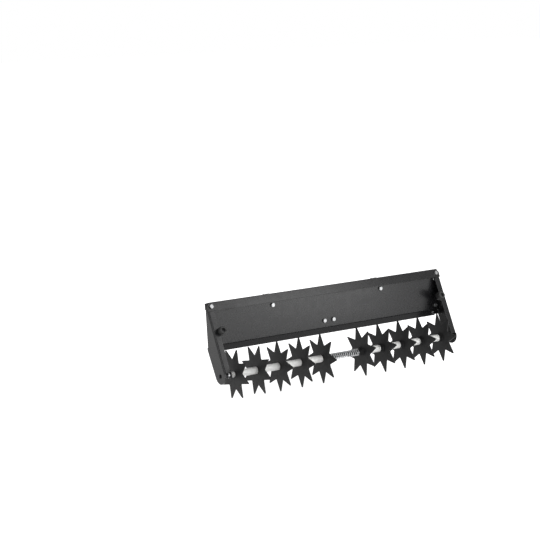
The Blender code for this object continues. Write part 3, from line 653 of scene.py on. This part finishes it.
# Stars: the outline has a flat tip and a filleted valley for each tooth. The disc is that outline and its
# inset, carried round a loop of bore, face, chamfer, edge, chamfer and face
star = {
    "perSide": 5, "pitch": 0.09, "first": 0.0855, "thick": 0.004, "teeth": 8, "tipR": 0.086,
    "tipFlat": 0.003, "tipRound": 0.0004, "valleyR": 0.048, "valleyFillet": 0.004, "chamfer": 0.0003,
    "bore": 0.0075, "collarR": 0.015, "collarLen": 0.0095, "bead": 0.0022,
    "turns": (9.1, 8.6, -8.5, -8.1, -8.4, -20.3, -18.1, -16.2, -15.6, -14.7),
}


def starShapes():
    half, chamfer = star["thick"] / 2, star["chamfer"]
    tooth = np.arange(star["teeth"])[:, None] * 2 * np.pi / star["teeth"]
    tip = star["tipFlat"] / 2 / star["tipR"]
    angle = (tooth + np.array([-tip, tip, np.pi / star["teeth"]])).ravel()
    reach = np.tile([star["tipR"], star["tipR"], star["valleyR"]], star["teeth"])
    corners = together(reach * np.cos(angle), reach * np.sin(angle))
    radii = np.tile([star["tipRound"], star["tipRound"], star["valleyFillet"]], star["teeth"])
    outline = rounded(corners, radii, 5, closed=True)
    along = np.roll(outline, -1, 0) - np.roll(outline, 1, 0)
    outwards = together(along[:, 1], -along[:, 0]) / np.linalg.norm(along, axis=1)[:, None]
    inset = outline - outwards * chamfer
    ray = outline / np.linalg.norm(outline, axis=1)[:, None]
    ring = ray * (star["collarR"] + 0.004)  # past the weld, so that the flat face stays even
    bore = ray * star["bore"]
    loop = [(bore, half), (ring, half), (inset, half), (outline, half - chamfer),
            (outline, chamfer - half), (inset, -half), (ring, -half), (bore, -half)]
    columns = [np.concatenate([flat, np.full((len(flat), 1), height)], 1) for flat, height in loop]
    disc = grid(np.stack(columns, 1), closeRows=True, closeColumns=True)
    top = half + star["collarLen"]
    collar = turned(rounded([
        (star["bore"], half - chamfer), (star["collarR"], half - chamfer), (star["collarR"], top),
        (star["bore"], top)], (0, 0, 0.0008, 0.0006), 4, closed=True), 96)

    # Weld bead: a ring whose section swells and shrinks with each pool of the weld
    around = np.linspace(0, 2 * np.pi, 240, endpoint=False)[:, None]
    section = np.linspace(0, 2 * np.pi, 12, endpoint=False)
    pools = star["bead"] * (0.86 + 0.14 * np.abs(np.sin(22 * around)) + 0.05 * np.sin(5 * around))
    r = star["collarR"] + 0.0004 + pools * np.cos(section)
    h = half + 0.0002 + pools * np.sin(section)
    bead = grid(together(r * np.cos(around), r * np.sin(around), h), closeRows=True, closeColumns=True)
    return [disc, collar, bead]


# Each star stands a pitch from the next, turned to where it was left, with its collar towards the middle
def makeStars():
    shapes = starShapes()
    for hand in (-1, 1):
        for k in range(star["perSide"]):
            number = star["perSide"] - k if hand < 0 else star["perSide"] + 1 + k
            x = hand * (star["first"] + k * star["pitch"])
            turn = math.radians(star["turns"][number - 1])
            addShapes(f"star_wheel_{number}", [onAxle(shape, x, -hand, turn) for shape in shapes])


# Everything turned that sits on the axle
axleParts = {
    "shaftR": 0.007, "spacerR": 0.01225, "spacerWall": 0.0035, "endSpacerR": 0.0105, "slideBore": 0.0075,
    "seatR": 0.014, "seatThick": 0.002, "washerR": 0.013, "washerThick": 0.004, "washerIn": 0.038,
    "bushSpigotR": 0.0078, "bushBossR": 0.011, "bushBossLen": 0.022, "bushBoreDepth": 0.016,
    "bushRecess": 0.0005, "coreR": 0.0063, "coreDeep": 0.008,  # a hollow in the bush's closed end
    "pinR": 0.002, "pinWall": 0.0006, "pinLen": 0.022, "pinSlot": math.radians(40),
}
# From the middle to the faces of the two seats that the spring bears on
seatX = star["first"] - star["thick"] / 2 - star["collarLen"] - gap - axleParts["seatThick"]


# A tube with its four edges rounded
def tube(outer, inner, length, edge):
    corners = [(inner, length), (outer, length), (outer, 0), (inner, 0)]
    return turned(rounded(corners, edge, 3, closed=True), 64)


# A roll pin is a ring of its wall's section with a slot, and stands upright through the shaft
def makeAxleParts():
    p = axleParts
    shaftEnd = shaftBox[1, 0]
    bar = [(0, shaftEnd), (p["shaftR"], shaftEnd), (p["shaftR"], -shaftEnd), (0, -shaftEnd)]
    shaft = rounded(bar, 0.001, 3)
    addShapes("axle_shaft", [onAxle(turned(shaft, 64), 0, 1)])
    spacerLen = star["pitch"] - star["thick"] - star["collarLen"] - 2 * gap
    spacer = tube(p["spacerR"], p["spacerR"] - p["spacerWall"], spacerLen, 0.0005)
    washerX = halfWidth - p["washerIn"]
    lastX = star["first"] + (star["perSide"] - 1) * star["pitch"] + star["thick"] / 2 + gap
    endSpacer = tube(p["endSpacerR"], p["slideBore"], washerX - gap - lastX, 0.0005)
    seat = tube(p["seatR"], p["slideBore"], p["seatThick"], 0.0003)
    washer = tube(p["washerR"], p["shaftR"] + gap, p["washerThick"], 0.0006)
    bossX = halfWidth - plate["thick"] - gap
    boreEnd = p["bushBoreDepth"] - p["bushBossLen"]
    top = halfWidth - p["bushRecess"] - bossX
    coreEnd, slideR = top - p["coreDeep"], p["shaftR"] + gap
    corners = [
        (0, coreEnd), (p["coreR"], coreEnd), (p["coreR"] + 0.0002, top), (p["bushSpigotR"], top),
        (p["bushSpigotR"], 0), (p["bushBossR"], 0), (p["bushBossR"], -p["bushBossLen"]),
        (slideR, -p["bushBossLen"]), (slideR, boreEnd), (0, boreEnd),
    ]
    radii = (0, 0.0005, 0.0003, 0.0004, 0.0003, 0.0006, 0.0008, 0.0008, 0.0003, 0)
    bush = turned(rounded(corners, radii, 3), 64)
    turn = np.linspace(p["pinSlot"] / 2, 2 * np.pi - p["pinSlot"] / 2, 25)[:, None]
    inner, halfPin = p["pinR"] - p["pinWall"], p["pinLen"] / 2
    corners = [(p["pinR"], -halfPin), (p["pinR"], halfPin), (inner, halfPin), (inner, -halfPin)]
    section = rounded(corners, (0.0005, 0.0005, 0, 0), 3, closed=True)
    pinPoints = together(section[:, 0] * np.cos(turn), section[:, 0] * np.sin(turn), section[:, 1])
    pinX = washerX + p["washerThick"] + gap + p["pinR"]
    for end, hand in ends:
        for k in range(star["perSide"] - 1):
            number = star["perSide"] - 1 - k if hand < 0 else star["perSide"] + k
            x = hand * (star["first"] + k * star["pitch"] + star["thick"] / 2 + gap)
            addShapes(f"spacer_tube_{number}", [onAxle(spacer, x, hand)])
        for node, shape, x in (("end_spacer", endSpacer, lastX), ("spring_seat", seat, seatX),
                               ("stop_washer", washer, washerX), ("plate_bush", bush, bossX)):
            addShapes(f"{node}_{end}", [onAxle(shape, hand * x, hand)])
        pin = grid(pinPoints + [hand * pinX, 0, 0], closeColumns=True)
        mesh = meshFrom(f"roll_pin_{end}_form", [pin])
        closeEnds(mesh)
        addPiece(f"roll_pin_{end}", mesh)


# Fills the open ends of a tube-like mesh
def closeEnds(mesh):
    bm = bmesh.new()
    bm.from_mesh(mesh)
    bmesh.ops.holes_fill(bm, edges=[e for e in bm.edges if e.is_boundary])
    bmesh.ops.recalc_face_normals(bm, faces=bm.faces)
    bm.to_mesh(mesh)
    bm.free()


# Spring: a round wire carried along a helix whose pitch closes up over the first and last turn; the ends are
# ground flat by holding the wire's points inside the spring's length
spring = {
    "wire": 0.0015, "r": 0.0105, "pitch": 0.0084, "endPitch": 0.0033, "stepsPerTurn": 40, "wireSteps": 14,
    "travel": 0.02,
}


def makeSpring():
    wire, radius = spring["wire"], spring["r"]
    length = 2 * (seatX - gap)
    rise = length - 2 * wire - 2 * spring["endPitch"]
    openTurns = max(1, round(rise / spring["pitch"]))
    turns = openTurns + 2
    section = np.linspace(0, 2 * np.pi, spring["wireSteps"], endpoint=False)[None, :, None]
    for end, hand in ends:
        # Each half runs a little past the middle, where the other covers its end
        stretch = (0, turns / 2 + 0.01) if hand < 0 else (turns / 2 - 0.01, turns)
        t = np.linspace(*stretch, round(spring["stepsPerTurn"] * turns / 2) + 1)
        opened = np.clip(t - 1, 0, openTurns)
        x = wire + (t - opened) * spring["endPitch"] + opened * rise / openTurns - length / 2
        angle = 2 * np.pi * t
        middle = together(x, -radius * np.sin(angle), radius * np.cos(angle))
        outwards = together(0, -np.sin(angle), np.cos(angle))
        along = np.gradient(middle, t, axis=0)
        along /= np.linalg.norm(along, axis=1)[:, None]
        across = np.cross(along, outwards)
        around = np.cos(section) * outwards[:, None] + np.sin(section) * across[:, None]
        points = middle[:, None] + wire * around
        points[..., 0] = np.clip(points[..., 0], -length / 2, length / 2)
        mesh = meshFrom(f"compression_spring_{end}_form", [grid(points, closeColumns=True)])
        closeEnds(mesh)
        piece = addPiece("compression_spring", mesh, suffix="_" + end)
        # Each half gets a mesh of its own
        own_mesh(piece)


# Fasteners: hexagon bolts, nuts and small pan-head screws
bolts = {
    "shankR": 0.004, "flats": 0.013, "head": 0.0053, "nut": 0.0065, "end": 0.0025, "pitch": 0.00125,
    "threadLen": 0.0085, "screwR": 0.003, "screwFlats": 0.010, "screwHead": 0.004, "screwPitch": 0.001,
    "panHeadR": 0.0055, "panHead": 0.0035, "crossHalf": 0.0008, "crossDeep": 0.0018, "steps": 48,
    "cornerIn": 0.0155, "cornerDown": 0.015, "tabIn": 0.018, "tabUp": 0.019, "tabDown": 0.0095,
    "lipIn": 0.0365, "lipDown": 0.0092,
    "dish": 0.0003, "rim": 0.0004, "faceShare": 0.475, "threadDepth": 0.6,  # the last in pitches
}


# Angles once round, as a column
def roundAngles(steps):
    return np.linspace(0, 2 * np.pi, steps, endpoint=False)[:, None]


# A grid from columns of (radius, height), each one number or one for every angle round the axis
def roundFrom(angle, columns, closeColumns=False):
    r, h = (np.concatenate([np.broadcast_to(c[k], angle.shape) for c in columns], 1) for k in (0, 1))
    points = together(r * np.cos(angle), r * np.sin(angle), h)
    return grid(points, closeRows=True, closeColumns=closeColumns)


# A hexagon reaches half its flats over cos of the angle from the middle of the nearest flat. Its face is a
# circle a little inside the flats, and its corners fall from there at 30 degrees
def hexagon(angle, flats):
    reach = flats / 2 / np.cos((angle + np.pi / 6) % (np.pi / 3) - np.pi / 6)
    faceR = bolts["faceShare"] * flats
    return reach, faceR, (reach - faceR) * math.tan(math.radians(30))


# Thread: the radius falls and rises once in each pitch, a pitch further on for each turn
def threadRadius(angle, height, radius, pitch):
    wave = np.abs(2 * ((height / pitch - angle / (2 * np.pi)) % 1) - 1)
    return radius - bolts["threadDepth"] * pitch * np.clip(1.25 * wave - 0.1, 0, 1)


# Bolt: out over the head with its shallow dish, in under it, down the shank and along the thread to the end
def boltShape(radius, flats, head, length, pitch):
    angle = roundAngles(bolts["steps"])
    hexR, faceR, fall = hexagon(angle, flats)
    dish, rim, root = head - bolts["dish"], bolts["rim"], radius - bolts["threadDepth"] * pitch
    columns = [
        (0, dish), (0.55 * faceR, dish), (0.62 * faceR, head), (faceR, head), (hexR, head - fall),
        (hexR, rim), (hexR - 0.0003, 0.0001), (faceR, 0), (radius, 0),
    ]
    for left in np.arange(min(bolts["threadLen"], length - 0.001), 0.0008, -pitch / 7):
        columns.append((threadRadius(angle, left - length, radius, pitch), left - length))
    columns += [(root, 0.0003 - length), (root - 0.2 * pitch, -length), (0, -length)]
    return roundFrom(angle, columns)


# Nut: out and down round the hexagon, in underneath, and back up the threaded bore
def nutShape():
    angle = roundAngles(bolts["steps"])
    high, bore = bolts["nut"], bolts["shankR"] + gap
    hexR, faceR, fall = hexagon(angle, bolts["flats"])
    rim = bolts["rim"]
    mouth = bore + rim
    columns = [
        (mouth, high), (faceR, high), (hexR, high - fall), (hexR, fall),
        (faceR, 0), (mouth, 0), (bore, rim),
    ]
    for height in np.arange(0.0006, high - 0.0005, bolts["pitch"] / 6):
        columns.append((threadRadius(angle, height, bore + 0.0002, 0.0005), height))
    columns.append((bore, high - rim))
    return roundFrom(angle, columns, closeColumns=True)


# Pan head: a low dome with a cross recess, whose depth falls off across each wing and towards its end
def panScrewShape(length):
    angle = roundAngles(64)
    headR, head, radius = bolts["panHeadR"], bolts["panHead"], bolts["screwR"]
    columns = []
    for share in (0, 0.1, 0.2, 0.3, 0.38, 0.44, 0.48, 0.54, 0.62, 0.75, 0.86, 0.94, 0.985, 1):
        r = headR * share
        dome = head * (1 - 0.32 * share**2 - 0.3 * (max(share - 0.86, 0) / 0.14) ** 2)
        wing = np.minimum(np.abs(r * np.cos(angle)), np.abs(r * np.sin(angle)))
        cross = np.clip(2 * (1 - wing / bolts["crossHalf"]), 0, 1) * np.clip((0.5 - share) / 0.06, 0, 1)
        columns.append((r, dome - bolts["crossDeep"] * cross))
    columns += [(headR, 0), (radius, 0), (radius, 0.001 - length), (radius - 0.0008, -length), (0, -length)]
    return roundFrom(angle, columns)


# Each job is a node, its shape, its place along the axle and in the side view, and where its head looks
def makeFasteners():
    b = bolts
    stack = panel["sheet"] + gap + hook["thick"] + gap + b["nut"] + b["end"] + gap
    through = boltShape(b["shankR"], b["flats"], b["head"], stack, b["pitch"])
    tabLength = panel["sheet"] + plate["thick"] + 2 * gap + b["end"]
    tabBolt = boltShape(b["shankR"], b["flats"], b["head"], tabLength, b["pitch"])
    lipScrew = boltShape(b["screwR"], b["screwFlats"], b["screwHead"], tabLength, b["screwPitch"])
    nut = nutShape()
    rearTopBolt = rearTop - b["tabDown"]
    cornerUp = side["frontLen"] - b["cornerDown"]
    seatedOut = panelFace - gap
    jobs = []
    for end, hand in ends:
        latchBoltZ = latchFootZ + latch["boltUp"]
        for kind, x, z in (("hook", hook["x"], hookBoltZ), ("latch", latch["boltX"], latchBoltZ)):
            jobs.append((f"{kind}_bolt_{end}", through, hand * x, backLine(z, seatedOut), -backOut))
            jobs.append((f"{kind}_nut_{end}", nut, hand * x, backLine(z, gap), backOut))
        x = hand * (halfWidth - b["cornerIn"])
        onPanel = frontLine(cornerUp, panel["sheet"] + 2 * gap)
        inPlate = frontLine(cornerUp, -plate["thick"] - gap)
        jobs.append((f"corner_bolt_{end}", through, x, onPanel, slopeOut))
        jobs.append((f"corner_nut_{end}", nut, x, inPlate, -slopeOut))
        x = hand * (halfWidth - b["tabIn"])
        for level, z in (("lower", panel["lipBendZ"] + b["tabUp"]), ("upper", rearTopBolt)):
            jobs.append((f"tab_bolt_{end}_{level}", tabBolt, x, backLine(z, seatedOut), -backOut))
        onLip = foot + lipDown * b["lipDown"] + lipFront * gap
        jobs.append((f"lip_screw_{end}", lipScrew, hand * (halfWidth - b["lipIn"]), onLip, lipFront))
    for k, (node, shape, x, place, direction) in enumerate(jobs):
        turn = math.radians(17 + 43 * k)  # no two heads are left at the same angle
        addShapes(node, [facing(shape, x, place, direction, turn)], sharp=24)


# Buffer: a short rubber cylinder with a recess for the screw's head
def makeBuffers():
    f = buffer
    seat = f["len"] - f["recess"]
    corners = [
        (f["bore"], seat), (f["recessR"], seat), (f["recessR"], f["len"]),
        (f["r"], f["len"]), (f["r"], 0), (f["bore"], 0),
    ]
    bumper = turned(rounded(corners, (0, 0.0006, 0.0008, 0.0022, 0.0008, 0), 5, closed=True), 72)
    screw = panScrewShape(seat + plate["thick"] + 2 * gap + bolts["end"])
    for end, hand in ends:
        x = hand * (halfWidth - f["in"])
        base, head = frontLine(f["up"], gap), frontLine(f["up"], 2 * gap + seat)
        addShapes(f"rubber_buffer_{end}", [facing(bumper, x, base, slopeOut)])
        addShapes(f"buffer_screw_{end}", [facing(screw, x, head, slopeOut, 0.4 * hand)])


makePanel()
makeEndPlates()
makeBrackets()
print("sheet metal done")
makeStars()
makeAxleParts()
makeSpring()
print("axle done")
makeFasteners()
makeBuffers()
print("fasteners and buffers done")

# Stage: a pale floor below the stars, which fades to white away from the object. Reflections see it at
# levels of their own: bright in front and to the left, and a painted shade behind the object to the right
stage = {
    "floorDrop": 0.16, "floorSize": 30.0, "nearGlow": 0.72, "near": 0.5, "far": 1.3, "sky": 0.38,
    "floorSeen": 1.5, "paintedShadeSeen": 0.15, "paintedShadeX": (-1.15, -0.35), "paintedShadeY": (0.3, 0.7),
    "room": 0.7, "ceiling": 0.72, "ceilingZ": (0.45, 0.85),
}
white = (1, 1, 1, 1)


# Light Path's glossy and transmission rays as one factor, after the Light Path itself
def mirrorRays(tree):
    path = addNode(tree, "LightPath")
    either = {0: (path, "Is Glossy Ray"), 1: (path, "Is Transmission Ray")}
    return path, addNode(tree, "Math", {"operation": "MAXIMUM"}, either)


def makeStage():
    bpy.ops.mesh.primitive_plane_add(size=stage["floorSize"])
    floor = bpy.context.object
    floor.name = "floor"
    floor.location = (0, 0, axle[2] - star["tipR"] - stage["floorDrop"])
    material = bpy.data.materials.new("pale floor")
    material.use_nodes = True
    tree = material.node_tree
    tree.nodes.clear()
    place = addNode(tree, "TexCoord")
    path, mirrored = mirrorRays(tree)
    away = addNode(tree, "VectorMath", {"operation": "LENGTH"}, {0: (place, "Object")})
    fade = mapRange(tree, away, "Value", stage["near"], stage["far"], stage["nearGlow"], 1, "SMOOTHSTEP")
    level = addNode(tree, "Math", {"operation": "MULTIPLY"},
                    {0: (path, "Is Camera Ray"), 1: (fade, "Result")})
    glow = addNode(tree, "Emission", {"Color": white}, {"Strength": (level, "Value")})
    matt = addNode(tree, "BsdfDiffuse", {"Color": linear("#ececec")})
    seen = addNode(tree, "AddShader", links={0: (matt, "BSDF"), 1: (glow, "Emission")})

    # The painted shade's share grows from 0 to 1 across its x span, times the same across its y span
    parts = addNode(tree, "SeparateXYZ", links={"Vector": (place, "Object")})
    right = mapRange(tree, parts, "X", *stage["paintedShadeX"])
    behind = mapRange(tree, parts, "Y", *stage["paintedShadeY"])
    share = addNode(tree, "Math", {"operation": "MULTIPLY"}, {0: (right, "Result"), 1: (behind, "Result")})
    # Reflections of the floor fall to the painted shade's level there
    mirror = mapRange(tree, share, "Value", 0, 1, stage["floorSeen"], stage["paintedShadeSeen"])
    reflected = addNode(tree, "Emission", {"Color": white}, {"Strength": (mirror, "Result")})
    mix = addNode(tree, "MixShader",
                  links={0: (mirrored, "Value"), 1: (seen, "Shader"), 2: (reflected, "Emission")})
    output = addNode(tree, "OutputMaterial")
    tree.links.new(mix.outputs[0], output.inputs["Surface"])
    floor.data.materials.append(material)

    # World: white to the eye. It lights matt surfaces at the sky's level, and reflections see a room that is
    # dimmer than white, with a level of its own for the ceiling
    world = bpy.data.worlds.new("studio")
    bpy.context.scene.world = world
    world.use_nodes = True
    tree = world.node_tree
    tree.nodes.clear()
    place = addNode(tree, "TexCoord")
    parts = addNode(tree, "SeparateXYZ", links={"Vector": (place, "Generated")})
    ceiling = mapRange(tree, parts, "Z", *stage["ceilingZ"], stage["room"], stage["ceiling"])
    light = addNode(tree, "Background", {"Color": white, "Strength": stage["sky"]})
    room = addNode(tree, "Background", {"Color": white}, {"Strength": (ceiling, "Result")})
    backdrop = addNode(tree, "Background", {"Color": white, "Strength": 1.0})
    path, mirrored = mirrorRays(tree)
    lit = addNode(tree, "MixShader",
                  links={0: (mirrored, "Value"), 1: (light, "Background"), 2: (room, "Background")})
    mix = addNode(tree, "MixShader",
                  links={0: (path, "Is Camera Ray"), 1: (lit, "Shader"), 2: (backdrop, "Background")})
    output = addNode(tree, "OutputWorld")
    tree.links.new(mix.outputs[0], output.inputs["Surface"])


# Soft lamps: place from the axle, the place aimed at, width, height and power
lamps = {
    "key": {"at": (0.78, -1.15, 0.65), "aim": (0.0, 0, 0.05), "size": (0.7, 1.35), "power": 10.0},
    "front": {"at": (-0.05, -1.45, 0.0), "aim": (-0.1, 0, 0.0), "size": (0.4, 0.4), "power": 6},
    "back": {"at": (1.0, 1.9, 1.2), "aim": (0, 0, 0.1), "size": (1.0, 1.0), "power": 10},
    "left": {"at": (-1.5, -0.9, 0.9), "aim": (-0.3, 0, 0.05), "size": (0.5, 1.0), "power": 5},
}


# Each lamp is a soft rectangle turned to face the place it is aimed at
def makeLamps():
    for name, lamp in lamps.items():
        data = bpy.data.lights.new(name, "AREA")
        data.shape = "RECTANGLE"
        data.size, data.size_y = lamp["size"]
        data.energy = lamp["power"]
        lampObject = newObject(name, data)
        at, aim = np.array(lamp["at"]) + axle, np.array(lamp["aim"]) + axle
        lampObject.location = at
        lampObject.rotation_euler = Vector(aim - at).to_track_quat("-Z", "Y").to_euler()


# Camera: its place from the axle, the angles it looks along in degrees, and its lens in millimetres
camera = {"at": (-3.4275, -4.4781, 1.4435), "azimuth": -34.919, "elevation": 11.482, "lens": 112.2}


def makeCamera():
    data = bpy.data.cameras.new("camera")
    data.sensor_width = 36
    data.lens = camera["lens"]
    data.clip_end = 60
    cameraObject = newObject("camera", data)
    cameraObject.location = np.array(camera["at"]) + axle
    tilt = math.radians(90 - camera["elevation"])
    cameraObject.rotation_euler = (tilt, 0, math.radians(camera["azimuth"]))
    bpy.context.scene.camera = cameraObject


makeStage()
makeLamps()
makeCamera()
bpy.context.scene.view_settings.view_transform = "Standard"
print("stage, lamps and camera done")
